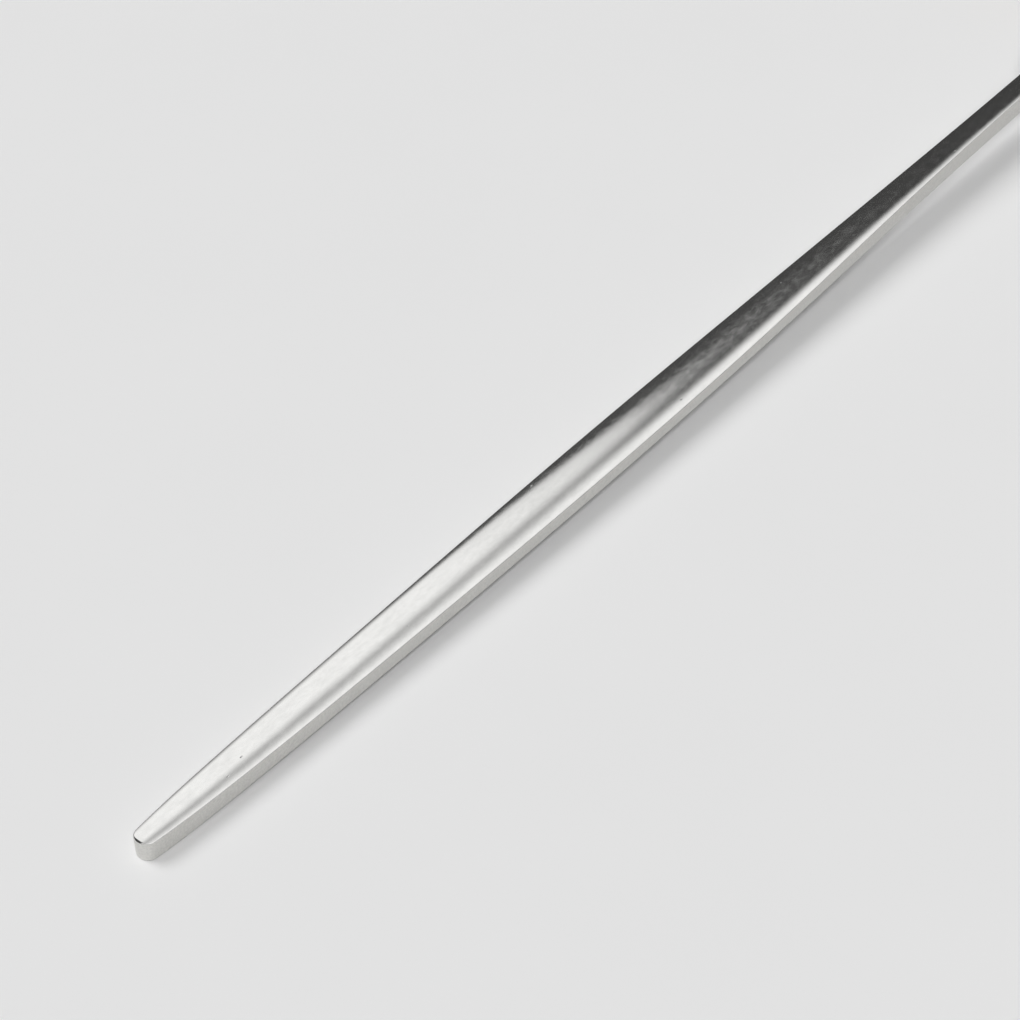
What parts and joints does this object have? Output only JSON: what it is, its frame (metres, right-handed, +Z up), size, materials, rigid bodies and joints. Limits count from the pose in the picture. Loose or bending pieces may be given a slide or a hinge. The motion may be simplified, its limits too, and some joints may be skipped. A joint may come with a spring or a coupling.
{
  "type": "garden dibber",
  "caption": "Slim hand dibber: a leaf-shaped solid steel blade with a crowned top and blunt tip, tanged into a ferruled, turned wooden handle.",
  "frame": {"origin": "on the ground under the middle of the tool's length, the tool lying on its blade's flat underside and the swell of its handle", "axes": "+X from the blade's tip to the butt, level; +Y across the tool; +Z up. The tool's own axis rises 1.29 degrees from +X as it lies"},
  "size_m": [0.4199, 0.021, 0.0217],
  "materials": {
    "blade_steel": "forged stainless steel, ground and satin polished, with faint pits and hairline scratches",
    "ferrule_steel": "spun stainless steel, fine turned satin",
    "pin_steel": "stainless pin with hammered ends",
    "ash_wood": "turned ash, oiled",
    "bedding_epoxy": "cured epoxy, hidden in the handle",
    "eyelet_brass": "polished brass, slightly dulled"
  },
  "bodies": {
    "root": {"blade": "blade_steel", "ferrule": "ferrule_steel", "ferrule_pin": "pin_steel", "handle": "ash_wood", "tang_bedding": "bedding_epoxy", "hanging_eyelet": "eyelet_brass"}
  },
  "joints": []
}
